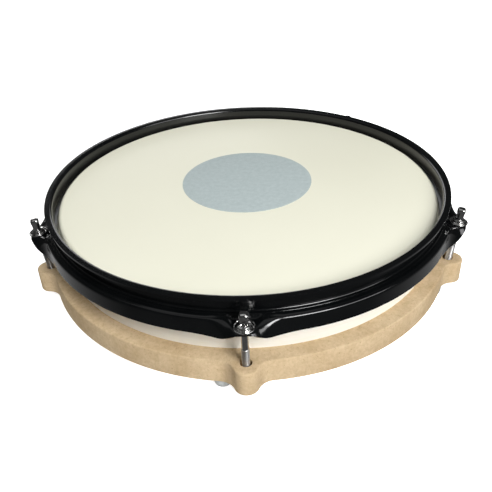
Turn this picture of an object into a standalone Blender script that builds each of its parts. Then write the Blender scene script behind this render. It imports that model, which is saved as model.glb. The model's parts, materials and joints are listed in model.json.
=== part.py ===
"""Tunable drum practice pad: a lobed board, a shallow wooden shell and a drum head held down by a
flanged steel hoop and five tension rods.

Lengths are in millimetres in the constants and become metres in the meshes. The origin is the
centre of the board's underside, +Z is up, and the first lug points to -Y.
"""

import math

import bmesh
import bpy
from mathutils import Matrix, Vector

MM = 0.001
GAP = 0.3
CUT_PAST = 1.0

LUG_COUNT = 5
LUG_STEP = 2 * math.pi / LUG_COUNT
FIRST_LUG = -math.pi / 2
LUG_RADIUS = 167.0
ROD_LEAN = math.radians(5.0)

FOOT_COUNT = LUG_COUNT
FOOT_FIRST_ANGLE = FIRST_LUG - math.radians(5.9)
FOOT_CENTRE_RADIUS = 156.4
FOOT_RADIUS = 6.5
FOOT_HEIGHT = 5.7

BOARD_RADIUS = 163.0
BOARD_BOTTOM = 0.0
BOARD_TOP = 18.5
BOARD_ROUNDING = 1.2
BOARD_LOWER_CHAMFER = 0.6
UNDERSIDE_DISC_RADIUS = 130.0
LOBE_NOSE_AT = 166.0
LOBE_NOSE_RADIUS = 8.6
LOBE_FILLET_RADIUS = 12.0
ROD_HOLE_RADIUS = 3.9

SHELL_OUTER_RADIUS = 150.4
SHELL_WALL = 7.0
SHELL_INNER_RADIUS = SHELL_OUTER_RADIUS - SHELL_WALL
SHELL_EDGE_ROUNDING = 3.4

HEAD_TOP = BOARD_TOP + 39.2
FILM_THICKNESS = 0.35
COLLAR_DEPTH = 9.6
DOT_RADIUS = 53.6
DOT_THICKNESS = 0.4
DOT_CENTRE = (0.0, 12.0)

FLESH_INNER_RADIUS = 152.6
FLESH_OUTER_RADIUS = 157.0
FLESH_HEIGHT = 7.0

HOOP_SHEET = 1.6
HOOP_WALL_RADIUS = 153.9
HOOP_LIP_RADIUS = 159.7
HOOP_LIP_TOP = HEAD_TOP + 8.4
HOOP_SHELF_TOP = HEAD_TOP - 4.0
HOOP_SKIRT_RADIUS = 162.6
HOOP_SKIRT_BOTTOM = HEAD_TOP - 17.2
FLESH_TOP = HOOP_SHELF_TOP - HOOP_SHEET - GAP
EAR_REACH = 10.4
EAR_TOP = HEAD_TOP - 7.3
EAR_FLAT_HALF = 7.2
EAR_FOLD_HALF = 15.5
EAR_FLARE_HALF = 34.0
EAR_HOLE_RADIUS = 3.5
EAR_STEPS = 7
SPAN_STEPS = 8

WASHER_OUTER_RADIUS = 6.6
WASHER_INNER_RADIUS = 3.0
WASHER_THICKNESS = 1.2

# Heights along a rod are measured from the ear that it passes through.
ROD_COLLAR_BOTTOM = GAP + WASHER_THICKNESS + GAP
ROD_COLLAR_RADIUS = 4.8
ROD_COLLAR_HEIGHT = 2.0
ROD_HEAD_SIDE = 5.6
ROD_HEAD_TOP = 12.3
ROD_SHANK_RADIUS = 2.45
ROD_THREAD_RADIUS = 2.7
ROD_THREAD_TOP = -18.5
ROD_END = -48.3

# The rods lean and the nuts stand upright, so a nut's bore leaves room for the rod's drift across it.
ROD_DRIFT = (EAR_TOP + ROD_END - BOARD_TOP) * math.tan(ROD_LEAN) / 2
NUT_AXIS_RADIUS = LUG_RADIUS + (BOARD_TOP - EAR_TOP) * math.tan(ROD_LEAN) + ROD_DRIFT
NUT_BORE_RADIUS = ROD_THREAD_RADIUS - ROD_DRIFT + 0.15
NUT_BARREL_RADIUS = NUT_BORE_RADIUS + 0.6
NUT_BARREL_TOP = BOARD_BOTTOM + 12.0
NUT_FLANGE_RADIUS = 7.0
NUT_FLANGE_THICKNESS = 1.4
NUT_POCKET_DEPTH = NUT_FLANGE_THICKNESS + 2 * GAP

SCREW_RADIUS_FROM_AXIS = SHELL_INNER_RADIUS + SHELL_WALL / 2
SCREW_HEAD_RADIUS = 4.0
SCREW_HEAD_HEIGHT = 2.6
SCREW_SHANK_RADIUS = 1.9
SCREW_TOP = BOARD_BOTTOM + 32.0

FOAM_RADIUS = SHELL_INNER_RADIUS - 0.8

LARGE_SEGMENTS = 72
SMALL_SEGMENTS = 16


def clear_scene():
    for obj in list(bpy.data.objects):
        bpy.data.objects.remove(obj)


def make_material(name, colour, roughness, metallic=0.0, alpha=1.0):
    material = bpy.data.materials.new(name)
    material.use_nodes = True
    shader = material.node_tree.nodes["Principled BSDF"]
    shader.inputs["Base Color"].default_value = (*colour, 1.0)
    shader.inputs["Roughness"].default_value = roughness
    shader.inputs["Metallic"].default_value = metallic
    shader.inputs["Alpha"].default_value = alpha
    return material


def lug_angle(index):
    return FIRST_LUG + index * LUG_STEP


def polar(radius, angle):
    return Vector((radius * math.cos(angle), radius * math.sin(angle), 0.0))


def add_object(name, bm, material=None, location=(0.0, 0.0, 0.0)):
    """Turns bm (in millimetres) into an object in metres, standing at location, in millimetres."""
    bmesh.ops.scale(bm, vec=(MM, MM, MM), verts=bm.verts)
    bmesh.ops.recalc_face_normals(bm, faces=bm.faces)
    mesh = bpy.data.meshes.new(name)
    bm.to_mesh(mesh)
    bm.free()
    mesh.shade_smooth()
    mesh.set_sharp_from_angle(angle=math.radians(35))
    obj = bpy.data.objects.new(name, mesh)
    bpy.context.scene.collection.objects.link(obj)
    obj.location = Vector(location) * MM
    if material:
        mesh.materials.append(material)
    return obj


def bridge_rings(bm, rings, closed):
    """Joins neighbouring rings of vertices with quads; closed also joins the last ring to the first."""
    pairs = list(zip(rings, rings[1:]))
    if closed:
        pairs.append((rings[-1], rings[0]))
    for lower, upper in pairs:
        for i in range(len(lower)):
            j = (i + 1) % len(lower)
            bm.faces.new((lower[i], lower[j], upper[j], upper[i]))


def turn(bm, profile, segments, centre=(0.0, 0.0), start=0.0):
    """Adds the solid turned from a closed (radius, height) profile about a vertical axis at centre."""
    corners = [bm.verts.new((centre[0] + radius, centre[1], z)) for radius, z in profile]
    outline = [bm.edges.new((corners[i - 1], corners[i])) for i in range(len(corners))]
    axis_point = (centre[0], centre[1], 0.0)
    if start:
        turned = Matrix.Rotation(start, 3, "Z")
        bmesh.ops.rotate(bm, cent=axis_point, matrix=turned, verts=corners)
    bmesh.ops.spin(
        bm,
        geom=corners + outline,
        cent=axis_point,
        axis=(0.0, 0.0, 1.0),
        angle=2 * math.pi,
        steps=segments,
        use_merge=True,
    )
    bmesh.ops.remove_doubles(bm, verts=bm.verts, dist=1e-4)
    flat = [edge for edge in bm.edges if not edge.link_faces]
    bmesh.ops.delete(bm, geom=flat, context="EDGES")


def turned_object(name, profile, segments, material, location=(0.0, 0.0, 0.0), start=0.0):
    bm = bmesh.new()
    turn(bm, profile, segments, start=start)
    return add_object(name, bm, material, location)


def cylinder_profile(radius, low, high):
    return [(0.0, low), (radius, low), (radius, high), (0.0, high)]


def add_cutter(target, name, profile, radius, angles, segments):
    """Cuts the turned profile out of target at each angle round the axis."""
    bm = bmesh.new()
    for angle in angles:
        centre = polar(radius, angle)
        single = bmesh.new()
        turn(single, profile, segments)
        bmesh.ops.translate(single, vec=centre, verts=single.verts)
        piece = bpy.data.meshes.new("piece")
        single.to_mesh(piece)
        single.free()
        bm.from_mesh(piece)
        bpy.data.meshes.remove(piece)
    cutter = add_object(name, bm)
    cutter.hide_render = True
    cutter.display_type = "WIRE"
    modifier = target.modifiers.new(name, "BOOLEAN")
    modifier.operation = "DIFFERENCE"
    modifier.solver = "EXACT"
    modifier.object = cutter


def arc_points(centre, radius, start, end, steps):
    return [
        centre + polar(radius, start + (end - start) * i / steps) for i in range(steps + 1)
    ]


def lobe_outline(inset):
    """One lobe of the board with the arc that leads to the next, for the lobe that points to +X.

    The lobe is a round nose about the rod's hole, with a concave fillet on each side of it.
    """
    main = BOARD_RADIUS - inset
    nose = LOBE_NOSE_RADIUS - inset
    fillet = LOBE_FILLET_RADIUS + inset
    to_nose = nose + fillet
    to_axis = main + fillet
    cosine = (LOBE_NOSE_AT**2 + to_axis**2 - to_nose**2) / (2 * LOBE_NOSE_AT * to_axis)
    root = math.acos(cosine)
    fillet_centre = polar(to_axis, root)
    nose_centre = Vector((LOBE_NOSE_AT, 0.0, 0.0))
    away = fillet_centre - nose_centre
    nose_end = math.atan2(away.y, away.x)
    fillet_start = nose_end + math.pi
    fillet_end = root + math.pi
    upper_fillet = arc_points(fillet_centre, fillet, fillet_start, fillet_end, 4)
    lower_fillet = [Vector((p.x, -p.y, 0.0)) for p in reversed(upper_fillet)]
    tip = arc_points(nose_centre, nose, -nose_end, nose_end, 10)
    rim = arc_points(Vector(), main, root, LUG_STEP - root, 7)
    return lower_fillet + tip[1:-1] + upper_fillet + rim[1:-1]


def board_outline(inset):
    lobe = lobe_outline(inset)
    return [Matrix.Rotation(lug_angle(k), 3, "Z") @ point for k in range(LUG_COUNT) for point in lobe]


def build_board(material):
    lower = BOARD_LOWER_CHAMFER
    half = BOARD_ROUNDING * (1 - math.sqrt(0.5))
    levels = [
        (lower, BOARD_BOTTOM),
        (0.0, BOARD_BOTTOM + lower),
        (0.0, BOARD_TOP - BOARD_ROUNDING),
        (half, BOARD_TOP - half),
        (BOARD_ROUNDING, BOARD_TOP),
    ]
    bm = bmesh.new()
    rings = []
    for inset, height in levels:
        outline = board_outline(inset)
        rings.append([bm.verts.new((point.x, point.y, height)) for point in outline])
    # A plain disc in the middle of the underside, clear of the feet and screws, takes the mount's plate.
    disc = [Vector((*vertex.co.xy, 0.0)).normalized() * UNDERSIDE_DISC_RADIUS for vertex in rings[0]]
    rings.insert(0, [bm.verts.new((point.x, point.y, BOARD_BOTTOM)) for point in disc])
    bridge_rings(bm, rings, closed=False)
    bm.faces.new(rings[0])
    bm.faces.new(rings[-1])
    board = add_object("baseboard", bm, material)
    lug_angles = [lug_angle(k) for k in range(LUG_COUNT)]
    pocket = NUT_FLANGE_RADIUS + GAP
    barrel = NUT_BARREL_RADIUS + GAP
    rod_hole = [
        (0.0, BOARD_BOTTOM - CUT_PAST),
        (pocket, BOARD_BOTTOM - CUT_PAST),
        (pocket, BOARD_BOTTOM + NUT_POCKET_DEPTH),
        (barrel, BOARD_BOTTOM + NUT_POCKET_DEPTH),
        (barrel, NUT_BARREL_TOP + GAP),
        (ROD_HOLE_RADIUS, NUT_BARREL_TOP + GAP),
        (ROD_HOLE_RADIUS, BOARD_TOP + CUT_PAST),
        (0.0, BOARD_TOP + CUT_PAST),
    ]
    add_cutter(board, "rod_hole_cutter", rod_hole, NUT_AXIS_RADIUS, lug_angles, SMALL_SEGMENTS + 4)
    add_cutter(board, "board_screw_cutter", screw_profile(GAP), SCREW_RADIUS_FROM_AXIS,
               screw_angles(), SMALL_SEGMENTS)
    return board


def build_shell(material):
    """The wooden shell, with its rounded-over bearing edge at the top."""
    bottom = BOARD_TOP + GAP
    top = HEAD_TOP - FILM_THICKNESS - GAP
    edge = SHELL_EDGE_ROUNDING
    profile = [
        (SHELL_INNER_RADIUS, bottom),
        (SHELL_OUTER_RADIUS, bottom),
        (SHELL_OUTER_RADIUS, top - edge),
        (SHELL_OUTER_RADIUS - 0.1 * edge, top - 0.62 * edge),
        (SHELL_OUTER_RADIUS - 0.4 * edge, top - 0.22 * edge),
        (SHELL_OUTER_RADIUS - edge, top),
        (SHELL_INNER_RADIUS + 1.0, top),
        (SHELL_INNER_RADIUS, top - 1.0),
    ]
    shell = turned_object("shell_ring", profile, LARGE_SEGMENTS, material)
    add_cutter(shell, "shell_screw_cutter", screw_profile(GAP), SCREW_RADIUS_FROM_AXIS,
               screw_angles(), SMALL_SEGMENTS)
    return shell


def build_head(material):
    """The drum head's film: flat across the shell, then down the collar to the flesh hoop."""
    inner = SHELL_OUTER_RADIUS + GAP
    outer = inner + FILM_THICKNESS
    under = HEAD_TOP - FILM_THICKNESS
    edge = SHELL_EDGE_ROUNDING
    rim_radius = FLESH_INNER_RADIUS - GAP
    foot = HEAD_TOP - COLLAR_DEPTH
    upper = [
        (0.0, HEAD_TOP),
        (SHELL_OUTER_RADIUS - edge + 0.1, HEAD_TOP),
        (outer - 0.42 * edge, HEAD_TOP - 0.2 * edge),
        (outer - 0.09 * edge, HEAD_TOP - 0.65 * edge),
        (outer, HEAD_TOP - 1.2 * edge),
        (outer, foot + FILM_THICKNESS),
        (rim_radius, foot + FILM_THICKNESS),
    ]
    lower = [
        (rim_radius, foot),
        (inner, foot),
        (inner, under - 1.1 * edge),
        (inner - 0.09 * edge, under - 0.62 * edge),
        (inner - 0.42 * edge, under - 0.2 * edge),
        (SHELL_OUTER_RADIUS - edge, under),
        (0.0, under),
    ]
    return turned_object("drum_head", upper + lower, LARGE_SEGMENTS, material)


def build_dot(material):
    bottom = HEAD_TOP + GAP
    profile = cylinder_profile(DOT_RADIUS, bottom, bottom + DOT_THICKNESS)
    return turned_object("centre_dot", profile, LARGE_SEGMENTS, material, (*DOT_CENTRE, 0.0))


def build_foam(material):
    bottom = BOARD_TOP + GAP
    top = HEAD_TOP - FILM_THICKNESS - GAP
    return turned_object("foam_disc", cylinder_profile(FOAM_RADIUS, bottom, top), LARGE_SEGMENTS, material)


def build_flesh_hoop(material):
    bottom = FLESH_TOP - FLESH_HEIGHT
    middle = (FLESH_INNER_RADIUS + FLESH_OUTER_RADIUS) / 2
    profile = [
        (FLESH_INNER_RADIUS, bottom),
        (FLESH_OUTER_RADIUS, bottom),
        (FLESH_OUTER_RADIUS, FLESH_TOP - 0.8),
        (middle, FLESH_TOP),
        (FLESH_INNER_RADIUS, FLESH_TOP - 0.8),
    ]
    return turned_object("flesh_hoop", profile, LARGE_SEGMENTS, material)


def smooth_step(value):
    value = min(1.0, max(0.0, value))
    return value * value * (3 - 2 * value)


def mix(start, end, share):
    return start + (end - start) * share


def seat_height(radius):
    """The top of an ear, which slopes outwards so that it is square to the leaning rod."""
    return EAR_TOP - (radius - LUG_RADIUS) * math.tan(ROD_LEAN)


def hoop_section(along):
    """The hoop's closed (radius, height) section at a distance along its rim from a lug's centre.

    Between the lugs it is lip, wall, shelf and skirt. At a lug the skirt flares outwards and folds
    up into a flat ear, whose top lies a little below the shelf.
    """
    distance = abs(along)
    fold = 1.0 - smooth_step((distance - EAR_FLAT_HALF) / (EAR_FOLD_HALF - EAR_FLAT_HALF))
    flare = math.cos(math.pi / 2 * min(1.0, distance / EAR_FLARE_HALF)) ** 2
    sheet = HOOP_SHEET
    wall_in = HOOP_WALL_RADIUS
    wall_out = wall_in + sheet
    skirt_out = HOOP_SKIRT_RADIUS + EAR_REACH * flare
    skirt_in = skirt_out - sheet
    shelf = HOOP_SHELF_TOP
    dimple_start = LUG_RADIUS - WASHER_OUTER_RADIUS - 1.6
    inner_seat = seat_height(dimple_start)
    outer_seat = seat_height(skirt_out)
    outer_shelf = mix(shelf - 0.5, outer_seat, fold)
    ear_under = outer_seat - sheet
    skirt_bottom = mix(HOOP_SKIRT_BOTTOM, ear_under - 0.4, fold)
    outer_side = [
        (HOOP_LIP_RADIUS, HOOP_LIP_TOP - sheet),
        (wall_out + 0.9, HOOP_LIP_TOP - sheet),
        (wall_out, HOOP_LIP_TOP - sheet - 0.9),
        (wall_out, shelf + 0.8),
        (wall_out + 0.8, shelf),
        (dimple_start, shelf - 0.1),
        (dimple_start + 0.9, mix(shelf - 0.2, inner_seat, fold)),
        (skirt_out - 2.0, outer_shelf),
        (skirt_out - 0.6, mix(outer_shelf - 0.6, outer_shelf - 0.3, fold)),
        (skirt_out, mix(outer_shelf - 2.0, outer_shelf - 0.9, fold)),
        (skirt_out, skirt_bottom),
    ]
    inner_side = [
        (skirt_in, skirt_bottom),
        (skirt_in, mix(outer_shelf - sheet - 1.6, ear_under - 0.2, fold)),
        (skirt_in - 1.2, mix(outer_shelf - sheet - 0.3, ear_under - 0.1, fold)),
        (dimple_start + mix(0.4, -0.4, fold), mix(shelf - 0.3 - sheet, inner_seat - sheet, fold)),
        (dimple_start - mix(0.4, 1.3, fold), shelf - 0.1 - sheet),
        (wall_in, shelf - sheet),
        (wall_in, HOOP_LIP_TOP - 1.3),
        (wall_in + 1.3, HOOP_LIP_TOP),
        (HOOP_LIP_RADIUS, HOOP_LIP_TOP),
    ]
    return outer_side + inner_side


def hoop_stations():
    """(angle, distance from the nearest lug along the rim) of each section, closer together at the lugs."""
    flare_angle = EAR_FLARE_HALF / LUG_RADIUS
    stations = []
    for k in range(LUG_COUNT):
        for i in range(-EAR_STEPS, EAR_STEPS):
            offset = flare_angle * i / EAR_STEPS
            stations.append((lug_angle(k) + offset, offset * LUG_RADIUS))
        span = LUG_STEP - 2 * flare_angle
        for i in range(SPAN_STEPS):
            angle = lug_angle(k) + flare_angle + span * i / SPAN_STEPS
            stations.append((angle, EAR_FLARE_HALF))
    return stations


def build_hoop(material):
    bm = bmesh.new()
    rings = []
    for angle, along in hoop_stations():
        ring = []
        for radius, height in hoop_section(along):
            point = polar(radius, angle)
            ring.append(bm.verts.new((point.x, point.y, height)))
        rings.append(ring)
    bridge_rings(bm, rings, closed=True)
    hoop = add_object("counter_hoop", bm, material)
    hole = cylinder_profile(EAR_HOLE_RADIUS, EAR_TOP - 2 * HOOP_SHEET, EAR_TOP + HOOP_SHEET)
    lug_angles = [lug_angle(k) for k in range(LUG_COUNT)]
    add_cutter(hoop, "ear_hole_cutter", hole, LUG_RADIUS, lug_angles, SMALL_SEGMENTS)
    return hoop


def rod_mesh(bm):
    """A square-headed tension rod about its own axis: head, collar, plain shank, thread and tip."""
    square = ROD_HEAD_SIDE / 2
    chamfer = 0.7
    head_bottom = ROD_COLLAR_BOTTOM + ROD_COLLAR_HEIGHT
    levels = [
        (square, head_bottom),
        (square, ROD_HEAD_TOP - chamfer),
        (square - chamfer, ROD_HEAD_TOP),
    ]
    rings = []
    for half, height in levels:
        corners = [(half, -half), (half, half), (-half, half), (-half, -half)]
        rings.append([bm.verts.new((x, y, height)) for x, y in corners])
    bridge_rings(bm, rings, closed=False)
    bm.faces.new(rings[-1])
    profile = [
        (ROD_COLLAR_RADIUS - 0.5, head_bottom),
        (ROD_COLLAR_RADIUS, head_bottom - 0.5),
        (ROD_COLLAR_RADIUS, ROD_COLLAR_BOTTOM),
        (ROD_SHANK_RADIUS, ROD_COLLAR_BOTTOM),
        (ROD_SHANK_RADIUS, ROD_THREAD_TOP),
        (ROD_THREAD_RADIUS, ROD_THREAD_TOP - 0.4),
        (ROD_THREAD_RADIUS, ROD_END + 1.2),
        (ROD_THREAD_RADIUS - 1.2, ROD_END),
    ]
    step = 2 * math.pi / SMALL_SEGMENTS
    turned_rings = []
    for radius, height in profile:
        points = [polar(radius, step * i) for i in range(SMALL_SEGMENTS)]
        turned_rings.append([bm.verts.new((p.x, p.y, height)) for p in points])
    bridge_rings(bm, turned_rings, closed=False)
    bm.faces.new(turned_rings[-1])
    bmesh.ops.bridge_loops(bm, edges=loop_edges(rings[0]) + loop_edges(turned_rings[0]))


def loop_edges(ring):
    """The edges that join neighbouring vertices of a ring."""
    edges = []
    for i, vertex in enumerate(ring):
        follower = ring[(i + 1) % len(ring)]
        shared = set(vertex.link_edges) & set(follower.link_edges)
        edges.append(shared.pop())
    return edges


def build_rod(index, material):
    """A tension rod, with its origin on its own axis, where that crosses the ear."""
    bm = bmesh.new()
    rod_mesh(bm)
    return lean_outwards(add_object(f"tension_rod_{index + 1}", bm, material), index)


def lean_outwards(obj, index):
    """Puts an object made about the Z axis at a lug's ear, leaning outwards as the rod there does."""
    angle = lug_angle(index)
    place = polar(LUG_RADIUS, angle)
    place.z = EAR_TOP
    obj.location = place * MM
    obj.rotation_euler = (0.0, ROD_LEAN, angle)
    return obj


def build_washer(index, material):
    top = GAP + WASHER_THICKNESS
    profile = [
        (WASHER_INNER_RADIUS, GAP),
        (WASHER_OUTER_RADIUS, GAP),
        (WASHER_OUTER_RADIUS, top),
        (WASHER_INNER_RADIUS, top),
    ]
    washer = turned_object(f"rod_washer_{index + 1}", profile, SMALL_SEGMENTS, material)
    return lean_outwards(washer, index)


def build_nut(index, material):
    """The flanged nut pressed into the board from below, which the rod screws into."""
    bottom = BOARD_BOTTOM + GAP
    flange_top = bottom + NUT_FLANGE_THICKNESS
    profile = [
        (NUT_BORE_RADIUS, bottom),
        (NUT_FLANGE_RADIUS, bottom),
        (NUT_FLANGE_RADIUS, flange_top),
        (NUT_BARREL_RADIUS, flange_top),
        (NUT_BARREL_RADIUS, NUT_BARREL_TOP),
        (NUT_BORE_RADIUS, NUT_BARREL_TOP),
    ]
    place = polar(NUT_AXIS_RADIUS, lug_angle(index))
    return turned_object(f"t_nut_{index + 1}", profile, SMALL_SEGMENTS, material, place)


def screw_angles():
    return [lug_angle(k) + LUG_STEP / 2 for k in range(LUG_COUNT)]


def screw_profile(clearance):
    """A countersunk wood screw, head down; clearance grows it into the hole that it sits in."""
    bottom = BOARD_BOTTOM + (GAP if clearance == 0 else -CUT_PAST)
    head = SCREW_HEAD_RADIUS + clearance
    shank = SCREW_SHANK_RADIUS + clearance
    top = SCREW_TOP + clearance
    return [
        (0.0, bottom),
        (head, bottom),
        (head, BOARD_BOTTOM + GAP + 0.4 + clearance),
        (shank, BOARD_BOTTOM + SCREW_HEAD_HEIGHT + clearance),
        (shank, top - 3.0),
        (0.0, top),
    ]


def build_screw(index, material):
    place = polar(SCREW_RADIUS_FROM_AXIS, screw_angles()[index])
    return turned_object(f"shell_screw_{index + 1}", screw_profile(0.0), SMALL_SEGMENTS - 4, material, place)


def build_foot(index, material):
    """A soft bumper stuck under the board, with a flat sole."""
    top = BOARD_BOTTOM - GAP
    sole = top - FOOT_HEIGHT
    profile = [
        (0.0, sole),
        (FOOT_RADIUS - 1.8, sole),
        (FOOT_RADIUS - 0.7, sole + 0.7),
        (FOOT_RADIUS, sole + 2.0),
        (FOOT_RADIUS, top),
        (0.0, top),
    ]
    place = polar(FOOT_CENTRE_RADIUS, FOOT_FIRST_ANGLE + index * 2 * math.pi / FOOT_COUNT)
    return turned_object(f"foot_{index + 1}", profile, SMALL_SEGMENTS + 4, material, place)


def main():
    clear_scene()
    board = make_material("board", (0.62, 0.47, 0.30), 0.75)
    shell = make_material("shell", (0.88, 0.80, 0.66), 0.6)
    film = make_material("film", (0.80, 0.79, 0.68), 0.45)
    dot = make_material("dot", (0.45, 0.52, 0.54), 0.7)
    foam = make_material("foam", (0.12, 0.12, 0.12), 0.95)
    flesh = make_material("flesh", (0.55, 0.56, 0.58), 0.35, metallic=1.0)
    paint = make_material("hoop_paint", (0.012, 0.012, 0.013), 0.28)
    chrome = make_material("hardware", (0.55, 0.55, 0.56), 0.12, metallic=1.0)
    zinc = make_material("zinc", (0.62, 0.60, 0.55), 0.4, metallic=1.0)
    rubber = make_material("bumper", (0.70, 0.72, 0.74), 0.3)
    build_board(board)
    build_shell(shell)
    build_foam(foam)
    build_head(film)
    build_dot(dot)
    build_flesh_hoop(flesh)
    build_hoop(paint)
    for index in range(LUG_COUNT):
        build_rod(index, chrome)
        build_washer(index, chrome)
        build_nut(index, zinc)
        build_screw(index, zinc)
    for index in range(FOOT_COUNT):
        build_foot(index, rubber)


main()
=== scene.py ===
"""Looks of the tunable practice pad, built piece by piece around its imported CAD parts.

Shapes are worked out in millimetres, in the part's own frame, and written to meshes in metres.
"""

import json
import math

import bmesh
import bpy
from mathutils import Matrix, Vector

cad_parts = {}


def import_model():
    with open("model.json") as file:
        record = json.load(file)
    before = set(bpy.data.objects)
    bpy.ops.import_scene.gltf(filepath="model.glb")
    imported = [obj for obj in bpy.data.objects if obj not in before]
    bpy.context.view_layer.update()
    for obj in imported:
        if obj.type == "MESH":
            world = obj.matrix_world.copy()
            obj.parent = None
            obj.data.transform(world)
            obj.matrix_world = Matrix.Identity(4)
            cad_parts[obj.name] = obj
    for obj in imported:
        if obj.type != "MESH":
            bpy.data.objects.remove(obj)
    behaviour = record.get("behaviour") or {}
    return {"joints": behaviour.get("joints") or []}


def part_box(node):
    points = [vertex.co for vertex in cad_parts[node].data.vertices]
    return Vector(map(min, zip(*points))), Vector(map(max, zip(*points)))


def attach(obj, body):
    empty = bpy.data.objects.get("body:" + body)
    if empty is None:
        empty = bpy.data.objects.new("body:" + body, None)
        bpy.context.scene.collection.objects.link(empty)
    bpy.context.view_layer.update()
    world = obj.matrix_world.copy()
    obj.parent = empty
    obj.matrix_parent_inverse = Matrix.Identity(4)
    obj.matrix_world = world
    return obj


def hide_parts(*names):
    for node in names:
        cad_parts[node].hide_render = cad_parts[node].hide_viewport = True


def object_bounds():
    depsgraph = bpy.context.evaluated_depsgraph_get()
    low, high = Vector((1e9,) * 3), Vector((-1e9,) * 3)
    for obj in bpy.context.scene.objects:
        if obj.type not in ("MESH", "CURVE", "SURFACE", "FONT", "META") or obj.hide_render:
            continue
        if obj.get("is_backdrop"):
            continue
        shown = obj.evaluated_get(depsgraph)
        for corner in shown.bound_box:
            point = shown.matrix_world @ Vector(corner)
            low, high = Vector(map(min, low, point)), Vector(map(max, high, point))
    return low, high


MM = 0.001

# The hoop: radii from the pad's axis and heights from the head's top.
HOOP_SHEET = 1.6
HOOP_WALL_RADIUS = 155.5
HOOP_LIP_RADIUS = 159.7
HOOP_LIP_UNDERSIDE = 6.8
HOOP_SHELF_START = -3.9
HOOP_SHELF_END = -5.1
HOOP_SKIRT_RADIUS = 162.6
HOOP_SKIRT_BOTTOM = -17.2
HOOP_LIP_BEND = 1.1
HOOP_SHELF_BEND = 1.2
HOOP_EDGE_ROUNDING = 0.7
HOOP_EDGE_SEGMENTS = 3
SHELF_INNER_RADIUS = HOOP_WALL_RADIUS + 2.4
LIP_STEPS = 4
BEND_STEPS = 6
SHELF_STEPS = 18
EDGE_STEPS = 8
SKIRT_STEPS = 7
SKIRT_BEND_SHARE = 0.8
EAR_SEAT = -7.3
EAR_REACH_HALF = 40.0
EAR_STATIONS = 96
SPAN_STATIONS = 32
EAR_HOLE_RADIUS = 3.5
EAR_HOLE_TOP = 2.0
EAR_HOLE_BOTTOM = -16.0
DIP_INNER_RADIUS = 157.4
DIP_RADIAL_RUN = 3.0
DIP_HALF_WIDTH = 6.8
DIP_SIDE_RUN = 7.2
SMOOTHING_WIDTH = 1.6
LUG_NUMBERS = range(1, 6)
LUG_RADIUS = 167.0

# The rods and washers: heights along the rod from the middle of the ear's seat.
ROD_LEAN = math.radians(5.0)
ROD_SHAFT_SIDE = 5.2
ROD_CAP_SIDE = 6.0
ROD_HEAD_TOP = 12.3
ROD_SQUARE_FOOT = 1.6
ROD_FLARE_BOTTOM = 4.2
ROD_FLARE_TOP = 2.9
ROD_DOME_HEIGHT = 1.5
ROD_DOME_INSET = 1.9
ROD_DOME_STEPS = 7
ROD_COLLAR_BOTTOM = 1.75
ROD_COLLAR_HEIGHT = 1.1
ROD_COLLAR_RADIUS = 4.4
ROD_NECK_TOP = 2.9
ROD_NECK_FOOT = 1.5
ROD_NECK_RADIUS = 2.75
ROD_SHANK_RADIUS = 2.45
THREAD_RADIUS = 2.7
THREAD_DEPTH = 0.32
THREAD_PITCH = 25.4 / 24
THREAD_TOP = -18.5
THREAD_LENGTH = 28.8
THREAD_OVERLAP = 0.1
THREAD_TURN_STEPS = 28
THREAD_ROWS_PER_TURN = 8
THREAD_RUNOUT_ROWS = 10
THREAD_TIP_LENGTH = 1.0
THREAD_TIP_SHARE = 0.55
WASHER_RADIUS = 6.8
WASHER_HOLE_RADIUS = 3.0
WASHER_BOSS_RADIUS = 4.9

# The nuts, screws and feet: heights from the ends of their own CAD parts.
NUT_BORE_RADIUS = 3.5
NUT_FLANGE_RADIUS = 7.0
NUT_FLANGE_THICKNESS = 1.4
NUT_BARREL_RADIUS = 4.15
NUT_BARREL_FOOT = 2.2
NUT_FILLET = 0.45
SCREW_HEAD_RADIUS = 4.0
SCREW_RIM = 0.4
SCREW_CONE_TOP = 2.4
SCREW_SHAFT_RADIUS = 1.9
SCREW_TIP_LENGTH = 3.0
CROSS_HALF_WIDTH = 0.45
CROSS_HALF_LENGTH = 2.2
CROSS_CUTTER_HEIGHT = 3.0
FOOT_SOLE_RADIUS = 5.4
FOOT_TOP_RADIUS = 6.5
FOOT_SHOULDER = 2.0
FOOT_SINK = 0.3

# The board: depths from its underside.
BOARD_ROUNDING = 1.1
BOARD_ROUNDING_STEPS = 6
BOARD_EASING = 0.8
BOARD_EASING_MIDDLE = 0.2
LOBE_NOSE_AT = 166.0
LOBE_NOSE_RADIUS = 8.6
LOBE_FILLET_RADIUS = 12.0
LOBE_FILLET_STEPS = 14
LOBE_NOSE_STEPS = 32
BOARD_RIM_STEPS = 44
ROD_HOLE_RADIUS = 3.9
ROD_HOLE_CHAMFER = 0.3
NUT_POCKET_RADIUS = 7.3
NUT_POCKET_DEPTH = 2.0
NUT_HOLE_RADIUS = 4.4
NUT_HOLE_DEPTH = 12.3
SCREW_SINK_RADIUS = 4.5
SCREW_SINK_RIM = 0.6
SCREW_SINK_DEPTH = 3.0
SCREW_HOLE_RADIUS = 2.2
CUT_PAST = 1.0

# The shell, the head and what is under it.
SHELL_WALL = 7.0
SHELL_SINK = 0.25
SHELL_EDGE_ROUNDING = 3.2
SHELL_INNER_ROUNDING = 1.0
FILM_THICKNESS = 0.35
FILM_COLLAR_INSET = 1.15
FILM_EDGE_ROUNDING = 3.6
DOT_LIFT = 0.02
DOT_TOP = 0.3
FLESH_HOOP_WIDTH = 4.4
FLESH_HOOP_SHOULDER = 0.8
FOAM_ROUNDING = 2.0

# The camera: angles in degrees, its distance and lens in millimetres.
CAMERA_DISTANCE = 514.4
CAMERA_ELEVATION = 27.69
CAMERA_AZIMUTH = 1.72
CAMERA_PITCH = 33.07
CAMERA_YAW = 2.06
CAMERA_ROLL = -2.49
CAMERA_LENS = 45.75
SENSOR_WIDTH = 36.0

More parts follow.
